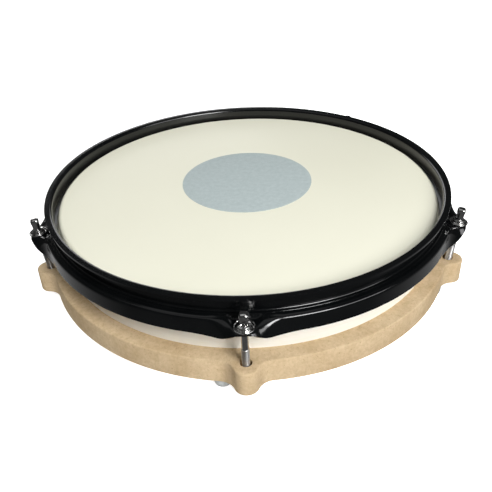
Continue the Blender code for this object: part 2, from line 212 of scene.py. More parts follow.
# The start and end of the glow's gradient from front to back along Y, then its strength at each.
GLOW_BELOW = (-0.25, 0.75, 0.07, 0.5)
GLOW_ABOVE = (0.0, 0.8, 0.03, 0.04)

AXIS_TOLERANCE = 1e-6
ROUND_SEGMENTS = 256
SMALL_SEGMENTS = 48
SHARP_ANGLE = 40.0
THREAD_SHARP_ANGLE = 75.0
EDGE_LIMIT_ANGLE = 60.0

SWEEP_RADIUS = 6000.0
SWEEP_ROUNDING = 1500.0
SWEEP_HEIGHT = 6000.0
SWEEP_STEPS = 12
FLOOR_GLOW = 0.8


# ---------------------------------------------------------------- shapes


def polar(radius, angle, height=0.0):
    return Vector((radius * math.cos(angle), radius * math.sin(angle), height))


def rounded(corners, closed=True, steps=5):
    """The outline through (x, y, radius) corners, each turned with its own radius."""
    count = len(corners)
    points = []
    for i, (x, y, radius) in enumerate(corners):
        here = Vector((x, y))
        if radius == 0 or (not closed and i in (0, count - 1)):
            points.append(here)
            continue
        before = (Vector(corners[i - 1][:2]) - here).normalized()
        after = (Vector(corners[(i + 1) % count][:2]) - here).normalized()
        half = before.angle(after) / 2
        reach = radius / math.tan(half)
        centre = here + (before + after).normalized() * radius / math.sin(half)
        start = here + before * reach - centre
        end = here + after * reach - centre
        sweep = start.angle_signed(end)
        for step in range(steps + 1):
            points.append(centre + Matrix.Rotation(-sweep * step / steps, 2) @ start)
    return [(point.x, point.y) for point in points]


def smooth(mesh, sharp_angle):
    mesh.shade_smooth()
    mesh.set_sharp_from_angle(angle=math.radians(sharp_angle))


def finish_piece(name, bm, material=None, sharp_angle=SHARP_ANGLE):
    """Turns bm, in millimetres, into an object in metres with its faces pointing out."""
    bmesh.ops.scale(bm, vec=(MM, MM, MM), verts=bm.verts)
    bmesh.ops.recalc_face_normals(bm, faces=bm.faces)
    mesh = bpy.data.meshes.new(name)
    bm.to_mesh(mesh)
    bm.free()
    smooth(mesh, sharp_angle)
    if material:
        mesh.materials.append(material)
    piece = bpy.data.objects.new(name, mesh)
    bpy.context.scene.collection.objects.link(piece)
    return piece


def node_middle(node):
    """The middle of a CAD node's box in the plan, in millimetres."""
    low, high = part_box(node)
    return (low.xy + high.xy) / 2 / MM


def node_heights(node):
    """The heights of a CAD node's bottom and top, in millimetres."""
    low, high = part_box(node)
    return low.z / MM, high.z / MM


def node_reach(node):
    """How far a CAD node reaches along +X, which is the outer radius of a ring or disc on the axis."""
    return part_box(node)[1].x / MM


def add_ring(bm, points):
    return [bm.verts.new(point) for point in points]


def bridge(bm, first, second):
    """Quads between two rings; a ring of one vertex closes the other as a fan."""
    count = max(len(first), len(second))
    for i in range(count):
        j = (i + 1) % count
        corners = [first[i % len(first)], first[j % len(first)]]
        corners += [second[j % len(second)], second[i % len(second)]]
        bm.faces.new(list(dict.fromkeys(corners)))


def lathe(bm, profile, segments, centre=(0.0, 0.0), closed=False):
    """Turns a (radius, height) profile about a vertical axis; a radius of 0 closes it on the axis."""
    rings = []
    for radius, height in profile:
        steps = segments if radius > AXIS_TOLERANCE else 1
        points = [polar(radius, 2 * math.pi * i / segments, height) for i in range(steps)]
        rings.append(add_ring(bm, [point + Vector((*centre, 0.0)) for point in points]))
    pairs = list(zip(rings, rings[1:]))
    if closed:
        pairs.append((rings[-1], rings[0]))
    for first, second in pairs:
        bridge(bm, first, second)


def turned_piece(name, corners, material, segments=SMALL_SEGMENTS, closed=False, centre=(0.0, 0.0)):
    """A turned piece whose (radius, height, rounding) corners run round its section."""
    bm = bmesh.new()
    lathe(bm, rounded(corners, closed=closed), segments, centre, closed=closed)
    return finish_piece(name, bm, material)


def apply_modifiers(piece):
    graph = bpy.context.evaluated_depsgraph_get()
    mesh = bpy.data.meshes.new_from_object(piece.evaluated_get(graph))
    old = piece.data
    piece.modifiers.clear()
    piece.data = mesh
    bpy.data.meshes.remove(old)
    smooth(mesh, SHARP_ANGLE)


def subtract(piece, bm, crossing=False):
    """Cuts the solids in bm out of piece; crossing says that they run through each other."""
    tool = finish_piece(piece.name + "_cutter", bm)
    modifier = piece.modifiers.new("cut", "BOOLEAN")
    modifier.operation = "DIFFERENCE"
    modifier.solver = "EXACT"
    modifier.use_self = crossing
    modifier.object = tool
    apply_modifiers(piece)
    bpy.data.objects.remove(tool)


def cut(piece, cutters):
    """Cuts the (profile, centre) turned solids out of piece."""
    bm = bmesh.new()
    for profile, centre in cutters:
        lathe(bm, profile, SMALL_SEGMENTS, centre)
    subtract(piece, bm)


def place(piece, body, slot, *nodes):
    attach(piece, body)
    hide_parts(*nodes)


def blend_along(distance, knots):
    """The value at a distance along (distance, value) knots, with their corners softened."""
    total = 0.0
    samples = (-1.0, -0.5, 0.0, 0.5, 1.0)
    for offset in samples:
        total += straight(abs(distance + offset * SMOOTHING_WIDTH), knots)
    return total / len(samples)


def straight(distance, knots):
    """The value at a distance along knots joined by straight lines."""
    for (start, low), (end, high) in zip(knots, knots[1:]):
        if distance <= end:
            return low + (high - low) * (distance - start) / (end - start)
    return knots[-1][1]


def smooth_step(value):
    value = min(1.0, max(0.0, value))
    return value * value * (3 - 2 * value)


# ---------------------------------------------------------------- the hoop

# (distance along the rim from a lug, value) knots that shape an ear.
EAR_EDGE_RADIUS = [
    (0, 172.9),
    (5.8, 172.6),
    (8, 167.4),
    (10, 165.4),
    (12.5, 164.8),
    (16, 163.9),
    (22, HOOP_SKIRT_RADIUS),
    (EAR_REACH_HALF, HOOP_SKIRT_RADIUS),
]
EAR_BOTTOM_RADIUS = [
    (0, 173.0),
    (6.5, 173.0),
    (8, 172.1),
    (10, 171.6),
    (12.5, 170.3),
    (15, 169.0),
    (18, 166.9),
    (22, 165.0),
    (28, 163.4),
    (36, HOOP_SKIRT_RADIUS),
    (EAR_REACH_HALF, HOOP_SKIRT_RADIUS),
]
EAR_BOTTOM_HEIGHT = [
    (0, -9.2),
    (6.5, -9.4),
    (8, -10.7),
    (10, -12.0),
    (12.5, -13.7),
    (15, -14.9),
    (18, -16.0),
    (22, -16.8),
    (28, HOOP_SKIRT_BOTTOM),
    (EAR_REACH_HALF, HOOP_SKIRT_BOTTOM),
]
EAR_BEND_RADIUS = [
    (0, 1.65),
    (6.2, 1.65),
    (9.5, 3.8),
    (13, 7.0),
    (18, 4.0),
    (24, 2.2),
    (EAR_REACH_HALF, 2.2),
]


def shelf_height(radius, along):
    """The shelf's top, which dips to the washer's seat at an ear, square to the leaning rod."""
    start = HOOP_WALL_RADIUS + HOOP_SHELF_BEND
    share = min(1.0, (radius - start) / (HOOP_SKIRT_RADIUS - start))
    plain = HOOP_SHELF_START + (HOOP_SHELF_END - HOOP_SHELF_START) * share
    seat = EAR_SEAT - (radius - LUG_RADIUS) * math.tan(ROD_LEAN)
    outward = smooth_step((radius - DIP_INNER_RADIUS) / DIP_RADIAL_RUN)
    sideways = 1 - smooth_step((abs(along) - DIP_HALF_WIDTH) / DIP_SIDE_RUN)
    return plain + (seat - plain) * (outward * sideways)


def hoop_section(along):
    """The hoop's outer face as (radius, height) points from the lip's edge to the skirt's."""
    edge = blend_along(along, EAR_EDGE_RADIUS)
    bottom_radius = blend_along(along, EAR_BOTTOM_RADIUS)
    bottom_height = blend_along(along, EAR_BOTTOM_HEIGHT)
    bend = blend_along(along, EAR_BEND_RADIUS)
    upper = [
        (HOOP_LIP_RADIUS, HOOP_LIP_UNDERSIDE, 0),
        (HOOP_WALL_RADIUS, HOOP_LIP_UNDERSIDE, HOOP_LIP_BEND),
        (HOOP_WALL_RADIUS, HOOP_SHELF_START, HOOP_SHELF_BEND),
        (SHELF_INNER_RADIUS, HOOP_SHELF_START, 0),
    ]
    section = rounded(upper, closed=False, steps=BEND_STEPS)
    section = part_way(section[0], section[1], LIP_STEPS) + section[1:]
    shelf_end = edge - bend
    for step in range(1, SHELF_STEPS + 1):
        radius = SHELF_INNER_RADIUS + (shelf_end - SHELF_INNER_RADIUS) * step / SHELF_STEPS
        section.append((radius, shelf_height(radius, along)))
    top = shelf_height(edge, along)
    down = Vector((bottom_radius - edge, bottom_height - top))
    start = Vector((shelf_end, top))
    corner = Vector((edge, top))
    end = corner + down.normalized() * min(bend, down.length * SKIRT_BEND_SHARE)
    for step in range(1, EDGE_STEPS + 1):
        share = step / EDGE_STEPS
        curve = start * (1 - share) ** 2 + corner * 2 * share * (1 - share) + end * share**2
        section.append((curve.x, curve.y))
    for step in range(1, SKIRT_STEPS + 1):
        point = end.lerp(Vector((bottom_radius, bottom_height)), step / SKIRT_STEPS)
        section.append((point.x, point.y))
    return section


def part_way(start, end, count):
    """Count points from start on the way to end, evenly spaced, without end itself."""
    return [tuple(Vector(start).lerp(Vector(end), step / count)) for step in range(count)]


def hoop_stations(lug_angles, lug_radius):
    """Stations round the rim as (angle, distance along it from the lug, up to the ear's reach)."""
    reach = EAR_REACH_HALF / lug_radius
    lug_step = 2 * math.pi / len(lug_angles)
    stations = []
    for lug in lug_angles:
        for i in range(EAR_STATIONS):
            offset = reach * (2 * i / EAR_STATIONS - 1)
            stations.append((lug + offset, offset * lug_radius))
        for i in range(SPAN_STATIONS):
            angle = lug + reach + (lug_step - 2 * reach) * i / SPAN_STATIONS
            stations.append((angle, EAR_REACH_HALF))
    return stations


def build_hoop(lugs, head_top, material):
    """The pressed steel hoop: one swept sheet, thickened, with rounded edges and an ear at each lug."""
    bm = bmesh.new()
    strips = []
    for angle, along in hoop_stations(lugs["angles"], lugs["radius"]):
        points = [polar(radius, angle, head_top + height) for radius, height in hoop_section(along)]
        strips.append(add_ring(bm, points))
    for first, second in zip(strips, strips[1:] + strips[:1]):
        for i in range(len(first) - 1):
            bm.faces.new((first[i], second[i], second[i + 1], first[i + 1]))
    hoop = finish_piece("counter_hoop_pressed", bm, material)
    thick = hoop.modifiers.new("sheet", "SOLIDIFY")
    thick.thickness = HOOP_SHEET * MM
    thick.offset = -1.0
    thick.use_quality_normals = True
    edges = hoop.modifiers.new("edges", "BEVEL")
    edges.width = HOOP_EDGE_ROUNDING * MM
    edges.segments = HOOP_EDGE_SEGMENTS
    edges.limit_method = "ANGLE"
    edges.angle_limit = math.radians(EDGE_LIMIT_ANGLE)
    apply_modifiers(hoop)
    low, high = head_top + EAR_HOLE_BOTTOM, head_top + EAR_HOLE_TOP
    hole = [(0, low), (EAR_HOLE_RADIUS, low), (EAR_HOLE_RADIUS, high), (0, high)]
    cut(hoop, [(hole, (spot.x, spot.y)) for spot in lugs["places"]])
    place(hoop, "hoop", "hoop_paint", "counter_hoop")


# ---------------------------------------------------------------- rods, washers, nuts, screws and feet


def rod_thread(bm, top, length):
    """A rolled thread, whose radius follows a ridge that winds round it and fades at both ends."""
    row_height = THREAD_PITCH / THREAD_ROWS_PER_TURN
    rows = int(length / row_height)
    rings = []
    for row in range(rows + 1):
        height = top - row * row_height
        runout = min(1.0, row / THREAD_RUNOUT_ROWS, (rows - row) / THREAD_RUNOUT_ROWS)
        ring = []
        for step in range(THREAD_TURN_STEPS):
            phase = (height / THREAD_PITCH - step / THREAD_TURN_STEPS) % 1.0
            ridge = 1 - abs(2 * phase - 1)
            radius = THREAD_RADIUS - THREAD_DEPTH * (1 - ridge) * runout
            ring.append(polar(radius, 2 * math.pi * step / THREAD_TURN_STEPS, height))
        rings.append(add_ring(bm, ring))
    for first, second in zip(rings, rings[1:]):
        bridge(bm, first, second)
    tip = add_ring(bm, [vertex.co * THREAD_TIP_SHARE for vertex in rings[-1]])
    for vertex in tip:
        vertex.co.z = top - length - THREAD_TIP_LENGTH
    bridge(bm, rings[-1], tip)
    bm.faces.new(tip)
    return rings[0]


def rod_profile():
    """A tension rod's (radius, height) outline from its square's foot to the top of its thread."""
    collar = ROD_COLLAR_BOTTOM
    corners = [
        (0, collar + ROD_NECK_TOP, 0),
        (ROD_NECK_RADIUS, collar + ROD_NECK_TOP, 0.1),
        (ROD_NECK_RADIUS + 0.1, collar + ROD_NECK_FOOT, 0.2),
        (ROD_COLLAR_RADIUS, collar + ROD_COLLAR_HEIGHT, 0.35),
        (ROD_COLLAR_RADIUS, collar, 0.3),
        (ROD_SHANK_RADIUS, collar, 0),
        (ROD_SHANK_RADIUS, THREAD_TOP + 0.5, 0.3),
        (THREAD_RADIUS - THREAD_DEPTH, THREAD_TOP, 0),
        (0, THREAD_TOP, 0),
    ]
    return rounded(corners, closed=False)


def rod_head(bm):
    """The square key head, which flares into a rounder domed cap."""
    shaft, cap = ROD_SHAFT_SIDE / 2, ROD_CAP_SIDE / 2
    top = ROD_HEAD_TOP
    square = ((1, -1), (1, 1), (-1, 1), (-1, -1))
    # Half of the square's side, its height, and how much of that half its corners' rounding takes.
    levels = [
        (shaft, ROD_COLLAR_BOTTOM + ROD_SQUARE_FOOT, 0.2),
        (shaft, top - ROD_FLARE_BOTTOM, 0.2),
        (cap, top - ROD_FLARE_TOP, 0.45),
        (cap, top - ROD_DOME_HEIGHT, 0.45),
    ]
    for step in range(1, ROD_DOME_STEPS):
        turn = math.pi / 2 * step / ROD_DOME_STEPS
        inset = ROD_DOME_INSET * (1 - math.cos(turn))
        levels.append((cap - inset, top - ROD_DOME_HEIGHT * (1 - math.sin(turn)), 0.6))
    rings = []
    for half, height, roundness in levels:
        corners = [(x * half, y * half, roundness * half) for x, y in square]
        rings.append(add_ring(bm, [Vector((x, y, height)) for x, y in rounded(corners, steps=4)]))
    for first, second in zip(rings, rings[1:]):
        bridge(bm, first, second)
    bridge(bm, rings[-1], add_ring(bm, [Vector((0, 0, top))]))
    bm.faces.new(rings[0])


def build_rods(lugs, chrome, thread_metal):
    """Each tension rod as two pieces that turn together: the plated rod and its rolled thread."""
    for number, place_matrix in enumerate(lugs["ears"], 1):
        bm = bmesh.new()
        rod_head(bm)
        lathe(bm, rod_profile(), SMALL_SEGMENTS)
        bm.transform(place_matrix)
        rod = finish_piece(f"key_rod_{number}", bm, chrome)
        place(rod, f"rod_{number}", "rod_metal", f"tension_rod_{number}")
        bm = bmesh.new()
        bm.faces.new(rod_thread(bm, THREAD_TOP + THREAD_OVERLAP, THREAD_LENGTH))
        bm.transform(place_matrix)
        thread = finish_piece(f"rod_thread_{number}", bm, thread_metal, THREAD_SHARP_ANGLE)
        place(thread, f"rod_{number}", "rod_metal", f"tension_rod_{number}")


def build_washers(lugs, chrome):
    """Dished washers with a raised rim, a groove inside it and a boss under the rod's collar."""
    corners = [
        (WASHER_HOLE_RADIUS, 0.1, 0.1),
        (WASHER_RADIUS - 0.4, 0.1, 0.2),
        (WASHER_RADIUS, 0.5, 0.25),
        (WASHER_RADIUS - 0.1, 1.15, 0.25),
        (WASHER_RADIUS - 0.6, 1.2, 0.2),
        (WASHER_RADIUS - 1.1, 0.75, 0.3),
        (WASHER_BOSS_RADIUS + 0.1, 0.6, 0.2),
        (WASHER_BOSS_RADIUS, 1.5, 0.2),
        (WASHER_HOLE_RADIUS, 1.65, 0.2),
    ]
    for number, place_matrix in enumerate(lugs["ears"], 1):
        bm = bmesh.new()
        lathe(bm, rounded(corners), SMALL_SEGMENTS, closed=True)
        bm.transform(place_matrix)
        washer = finish_piece(f"flat_washer_{number}", bm, chrome)
        place(washer, "hoop", "rod_metal", f"rod_washer_{number}")


def build_nuts(zinc):
    for number in LUG_NUMBERS:
        node = f"t_nut_{number}"
        low, high = node_heights(node)
        corners = [
            (NUT_BORE_RADIUS, low, 0.2),
            (NUT_FLANGE_RADIUS, low, 0.3),
            (NUT_FLANGE_RADIUS, low + NUT_FLANGE_THICKNESS, 0.3),
            (NUT_BARREL_RADIUS + NUT_FILLET, low + NUT_FLANGE_THICKNESS, 0.4),
            (NUT_BARREL_RADIUS, low + NUT_BARREL_FOOT, 0.3),
            (NUT_BARREL_RADIUS, high, 0.2),
            (NUT_BORE_RADIUS, high, 0.2),
        ]
        nut = turned_piece(f"flanged_nut_{number}", corners, zinc, closed=True, centre=node_middle(node))
        place(nut, "base", "zinc_metal", node)


def build_screws(zinc):
    for number in LUG_NUMBERS:
        node = f"shell_screw_{number}"
        low, high = node_heights(node)
        corners = [
            (0, low, 0),
            (SCREW_HEAD_RADIUS, low, 0.2),
            (SCREW_HEAD_RADIUS, low + SCREW_RIM, 0),
            (SCREW_SHAFT_RADIUS, low + SCREW_CONE_TOP, 0.4),
            (SCREW_SHAFT_RADIUS, high - SCREW_TIP_LENGTH, 0.5),
            (0, high, 0),
        ]
        screw = turned_piece(f"countersunk_screw_{number}", corners, zinc, centre=node_middle(node))
        cross_recess(screw, node_middle(node), low)
        place(screw, "base", "zinc_metal", node)


def cross_recess(screw, centre, face):
    """Cuts the driver's cross into the screw's head."""
    bm = bmesh.new()
    at = Matrix.Translation((*centre, face))
    for across, along in ((CROSS_HALF_WIDTH, CROSS_HALF_LENGTH), (CROSS_HALF_LENGTH, CROSS_HALF_WIDTH)):
        size = Matrix.Diagonal((2 * across, 2 * along, CROSS_CUTTER_HEIGHT, 1.0))
        bmesh.ops.create_cube(bm, size=1.0, matrix=at @ size)
    subtract(screw, bm, crossing=True)


def build_feet(bumper):
    """Bumpers that taper to their soles and reach a little way into the board."""
    for number in LUG_NUMBERS:
        node = f"foot_{number}"
        low, high = node_heights(node)
        corners = [
            (0, low, 0),
            (FOOT_SOLE_RADIUS, low, 1.6),
            (FOOT_TOP_RADIUS, high - FOOT_SHOULDER, 1.2),
            (FOOT_TOP_RADIUS, high + FOOT_SINK, 0.15),
            (0, high + FOOT_SINK, 0),
        ]
        foot = turned_piece(f"bumper_{number}", corners, bumper, centre=node_middle(node))
        place(foot, "base", "bumper", node)


# ---------------------------------------------------------------- board, shell, head and what is inside


def arc(centre, radius, start, end, steps):
    """Points round centre from the angle start to the angle end."""
    return [centre + polar(radius, start + (end - start) * i / steps) for i in range(steps + 1)]


def lobe_outline(inset, lug_step, board_radius):
    """One lobe and the arc that leads to the next, for the lobe that points to +X."""
    main = board_radius - inset
    nose = LOBE_NOSE_RADIUS - inset
    fillet = LOBE_FILLET_RADIUS + inset
    to_axis = main + fillet
    to_nose = nose + fillet
    root = math.acos((LOBE_NOSE_AT**2 + to_axis**2 - to_nose**2) / (2 * LOBE_NOSE_AT * to_axis))
    fillet_centre = polar(to_axis, root)
    nose_centre = Vector((LOBE_NOSE_AT, 0.0, 0.0))
    away = fillet_centre - nose_centre
    nose_end = math.atan2(away.y, away.x)
    upper = arc(fillet_centre, fillet, nose_end + math.pi, root + math.pi, LOBE_FILLET_STEPS)
    lower = [Vector((point.x, -point.y, 0.0)) for point in reversed(upper)]
    tip = arc(nose_centre, nose, -nose_end, nose_end, LOBE_NOSE_STEPS)
    rim = arc(Vector(), main, root, lug_step - root, BOARD_RIM_STEPS)
    return lower + tip[1:-1] + upper + rim[1:-1]


def board_levels(bottom, top):
    """(inset, height) levels up the board's edge: eased at its bottom, rounded over at its top."""
    levels = [
        (BOARD_EASING, bottom),
        (BOARD_EASING_MIDDLE, bottom + BOARD_EASING_MIDDLE),
        (0.0, bottom + BOARD_EASING),
        (0.0, top - BOARD_ROUNDING),
    ]
    for step in range(1, BOARD_ROUNDING_STEPS + 1):
        turn = math.pi / 2 * step / BOARD_ROUNDING_STEPS
        inset = BOARD_ROUNDING * (1 - math.cos(turn))
        levels.append((inset, top - BOARD_ROUNDING * (1 - math.sin(turn))))
    return levels


def rod_hole(bottom, top):
    """The outline of a rod's hole: a nut's pocket, its barrel's hole and a chamfered mouth."""
    mouth = ROD_HOLE_RADIUS + ROD_HOLE_CHAMFER
    return [
        (0, bottom - CUT_PAST),
        (NUT_POCKET_RADIUS, bottom - CUT_PAST),
        (NUT_POCKET_RADIUS, bottom + NUT_POCKET_DEPTH),
        (NUT_HOLE_RADIUS, bottom + NUT_POCKET_DEPTH),
        (NUT_HOLE_RADIUS, bottom + NUT_HOLE_DEPTH),
        (ROD_HOLE_RADIUS, bottom + NUT_HOLE_DEPTH),
        (ROD_HOLE_RADIUS, top - ROD_HOLE_CHAMFER),
        (mouth, top),
        (mouth, top + CUT_PAST),
        (0, top + CUT_PAST),
    ]


def screw_hole(bottom, top):
    """The outline of a screw's hole, countersunk from below."""
    return [
        (0, bottom - CUT_PAST),
        (SCREW_SINK_RADIUS, bottom - CUT_PAST),
        (SCREW_SINK_RADIUS, bottom + SCREW_SINK_RIM),
        (SCREW_HOLE_RADIUS, bottom + SCREW_SINK_DEPTH),
        (SCREW_HOLE_RADIUS, top + CUT_PAST),
        (0, top + CUT_PAST),
    ]


def build_board(lugs, material):
    """The lobed board with its rod and screw holes."""
    bottom, top = node_heights("baseboard")
    board_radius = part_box("baseboard")[1].y / MM
    lug_step = 2 * math.pi / len(lugs["angles"])
    bm = bmesh.new()
    rings = []
    for inset, height in board_levels(bottom, top):
        lobe = lobe_outline(inset, lug_step, board_radius)
        outline = []
        for angle in lugs["angles"]:
            outline += [Matrix.Rotation(angle, 3, "Z") @ point for point in lobe]
        rings.append(add_ring(bm, [Vector((point.x, point.y, height)) for point in outline]))
    for first, second in zip(rings, rings[1:]):
        bridge(bm, first, second)
    bm.faces.new(rings[0])
    bm.faces.new(rings[-1])
    board = finish_piece("lobed_board", bm, material)
    cutters = []
    for number in LUG_NUMBERS:
        cutters.append((rod_hole(bottom, top), node_middle(f"t_nut_{number}")))
        cutters.append((screw_hole(bottom, top), node_middle(f"shell_screw_{number}")))
    cut(board, cutters)
    place(board, "base", "board", "baseboard")


def build_shell(material):
    """The ply ring, rounded over at its outer top edge; its foot reaches a hair into the board."""
    bottom, top = node_heights("shell_ring")
    outer = node_reach("shell_ring")
    inner = outer - SHELL_WALL
    corners = [
        (inner, bottom - SHELL_SINK, 0.2),
        (outer, bottom - SHELL_SINK, 0.2),
        (outer, top, SHELL_EDGE_ROUNDING),
        (inner, top, SHELL_INNER_ROUNDING),
    ]
    shell = turned_piece("ply_shell", corners, material, ROUND_SEGMENTS, closed=True)
    place(shell, "base", "shell", "shell_ring")


def build_head(material):
    """The film: flat over the shell, round the bearing edge and down to the flesh hoop."""
    bottom, top = node_heights("drum_head")
    outer = node_reach("drum_head")
    collar = outer - FILM_COLLAR_INSET
    corners = [
        (0, top, 0),
        (collar, top, FILM_EDGE_ROUNDING),
        (collar + 0.2, bottom + FILM_THICKNESS, 0.2),
        (outer, bottom + FILM_THICKNESS, 0),
        (outer, bottom, 0),
        (collar - 0.15, bottom, 0.15),
        (collar - FILM_THICKNESS, top - FILM_THICKNESS, FILM_EDGE_ROUNDING - FILM_THICKNESS),
        (0, top - FILM_THICKNESS, 0),
    ]
    film = turned_piece("head_film", corners, material, ROUND_SEGMENTS)
    place(film, "base", "film", "drum_head")


def build_dot(material):
    low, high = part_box("centre_dot")
    radius = (high.x - low.x) / 2 / MM
    film_top = node_heights("drum_head")[1]
    bottom, top = film_top + DOT_LIFT, film_top + DOT_TOP
    corners = [(0, bottom, 0), (radius, bottom, 0), (radius, top, 0.15), (0, top, 0)]
    middle = node_middle("centre_dot")
    dot = turned_piece("reinforcing_patch", corners, material, ROUND_SEGMENTS, centre=middle)
    place(dot, "base", "dot", "centre_dot")


def build_flesh_hoop(material):
    bottom, top = node_heights("flesh_hoop")
    outer = node_reach("flesh_hoop")
    inner = outer - FLESH_HOOP_WIDTH
    shoulder = top - FLESH_HOOP_SHOULDER
    corners = [
        (inner, bottom, 0.5),
        (outer, bottom, 0.8),
        (outer, shoulder, 0.8),
        ((inner + outer) / 2, top, 1.5),
        (inner, shoulder, 0.5),
    ]
    ring = turned_piece("flesh_hoop_channel", corners, material, ROUND_SEGMENTS, closed=True)
    place(ring, "base", "flesh_metal", "flesh_hoop")


def build_foam(material):
    bottom, top = node_heights("foam_disc")
    outer = node_reach("foam_disc")
    corners = [(0, bottom, 0), (outer, bottom, FOAM_ROUNDING), (outer, top, FOAM_ROUNDING), (0, top, 0)]
    foam = turned_piece("damping_foam", corners, material, ROUND_SEGMENTS)
    place(foam, "base", "foam", "foam_disc")


# ---------------------------------------------------------------- materials


def map_range(tree, source, start, end, low, high):
    """Maps source from start..end to low..high."""
    mapping = tree.nodes.new("ShaderNodeMapRange")
    for socket, value in zip(("From Min", "From Max", "To Min", "To Max"), (start, end, low, high)):
        mapping.inputs[socket].default_value = value
    tree.links.new(source, mapping.inputs["Value"])
    return mapping.outputs["Result"]


class Surface:
    """A Principled material, with short calls for the procedural nodes that drive it."""

    def __init__(self, name, **sockets):
        self.material = bpy.data.materials.new(name)
        self.material.use_nodes = True
        self.tree = self.material.node_tree
        self.shader = self.tree.nodes["Principled BSDF"]
        for socket, value in sockets.items():
            self.shader.inputs[socket.replace("_", " ")].default_value = value
        self.place = self.node("ShaderNodeTexCoord").outputs["Object"]

    def node(self, kind):
        return self.tree.nodes.new(kind)

    def link(self, source, target):
        self.tree.links.new(source, target)

    def noise(self, scale, detail=4.0, roughness=0.5, stretch=(1.0, 1.0, 1.0), distortion=0.0):
        """Noise from 0 to 1 in the piece's own space, with scale cells to the metre."""
        mapping = self.node("ShaderNodeMapping")
        mapping.inputs["Scale"].default_value = stretch
        self.link(self.place, mapping.inputs["Vector"])
        noise = self.node("ShaderNodeTexNoise")
        noise.inputs["Scale"].default_value = scale
        noise.inputs["Detail"].default_value = detail
        noise.inputs["Roughness"].default_value = roughness
        noise.inputs["Distortion"].default_value = distortion
        self.link(mapping.outputs["Vector"], noise.inputs["Vector"])
        return noise.outputs["Fac"]

    def ramp(self, source, stops):
        """Colours source through its two (position, colour) stops."""
        ramp = self.node("ShaderNodeValToRGB")
        for element, (position, colour) in zip(ramp.color_ramp.elements, stops):
            element.position = position
            element.color = (*colour, 1.0)
        self.link(source, ramp.inputs["Fac"])
        return ramp.outputs["Color"]

    def multiply(self, first, second, share=1.0):
        """The first colour multiplied by share of the second."""
        mix = self.node("ShaderNodeMix")
        mix.data_type = "RGBA"
        mix.blend_type = "MULTIPLY"
        mix.inputs["Factor"].default_value = share
        self.link(first, mix.inputs["A"])
        self.link(second, mix.inputs["B"])
        return mix.outputs["Result"]

    def colour(self, source):
        self.link(source, self.shader.inputs["Base Color"])

    def roughness(self, source, low, high):
        self.link(map_range(self.tree, source, 0.0, 1.0, low, high), self.shader.inputs["Roughness"])

    def bump(self, source, distance, strength):
        bump = self.node("ShaderNodeBump")
        bump.inputs["Strength"].default_value = strength
        bump.inputs["Distance"].default_value = distance
        self.link(source, bump.inputs["Height"])
        self.link(bump.outputs["Normal"], self.shader.inputs["Normal"])


def board_material():
    """Raw fibreboard: a warm tan with fine fibres, darker specks and slow patches."""
    surface = Surface("fibreboard", Specular_IOR_Level=0.06)
    patches = surface.noise(26.0, detail=4.0, roughness=0.6)
    fibres = surface.noise(420.0, detail=5.0, roughness=0.7, distortion=0.6)
    specks = surface.noise(900.0, detail=2.0, roughness=0.4)
    base = surface.ramp(patches, [(0.34, (0.565, 0.418, 0.248)), (0.66, (0.71, 0.558, 0.36))])
    fine = surface.ramp(fibres, [(0.32, (0.74, 0.70, 0.64)), (0.6, (1.0, 1.0, 1.0))])
    dots = surface.ramp(specks, [(0.26, (0.55, 0.45, 0.36)), (0.36, (1.0, 1.0, 1.0))])
    streaks = surface.ramp(
        surface.noise(170.0, detail=4.0, roughness=0.65, stretch=(1.0, 1.0, 0.12)),
        [(0.36, (0.86, 0.84, 0.80)), (0.62, (1.04, 1.04, 1.06))],
    )
    toned = surface.multiply(base, fine, 0.6)
    toned = surface.multiply(toned, streaks, 0.4)
    surface.colour(surface.multiply(toned, dots, 0.5))
    surface.roughness(fibres, 0.7, 0.9)
    surface.bump(fibres, 0.00015, 0.5)
    return surface.material


def shell_material():
    """Pale birch veneer under a clear coat, its grain running round the shell."""
    surface = Surface(
        "birch_ply",
        Roughness=0.5,
        Specular_IOR_Level=0.35,
        Coat_Weight=0.15,
        Coat_Roughness=0.3,
    )
    grain = surface.noise(60.0, detail=6.0, roughness=0.6, stretch=(1.0, 1.0, 14.0), distortion=0.4)
    tone = surface.noise(9.0, detail=2.0)
    streaks = surface.ramp(grain, [(0.35, (0.975, 0.96, 0.875)), (0.6, (0.99, 0.985, 0.93))])
    patches = surface.ramp(tone, [(0.35, (0.95, 0.94, 0.92)), (0.65, (1.0, 1.0, 1.0))])
    surface.colour(surface.multiply(streaks, patches))
    surface.bump(grain, 0.0001, 0.3)
    return surface.material


def film_material():
    """Cream coated film: almost even, with a fine sprayed texture."""
    surface = Surface("coated_film", Specular_IOR_Level=0.35)
    cloud = surface.noise(7.0, detail=2.0)
    grit = surface.noise(2600.0, detail=2.0, roughness=0.6)
    surface.colour(surface.ramp(cloud, [(0.3, (0.73, 0.723, 0.595)), (0.7, (0.755, 0.748, 0.62))]))
    surface.roughness(grit, 0.36, 0.5)
    surface.bump(grit, 0.00004, 0.4)
    return surface.material


def dot_material():
    """Blue-grey woven patch, faintly mottled."""
    surface = Surface("woven_patch", Roughness=0.7, Specular_IOR_Level=0.3)
    mottle = surface.noise(260.0, detail=4.0, roughness=0.65)
    weave = surface.noise(1800.0, detail=2.0)
    base = surface.ramp(mottle, [(0.32, (0.375, 0.438, 0.44)), (0.68, (0.435, 0.50, 0.50))])
    threads = surface.ramp(weave, [(0.3, (0.9, 0.9, 0.9)), (0.7, (1.0, 1.0, 1.0))])
    surface.colour(surface.multiply(base, threads))
    surface.bump(weave, 0.00006, 0.5)
    return surface.material


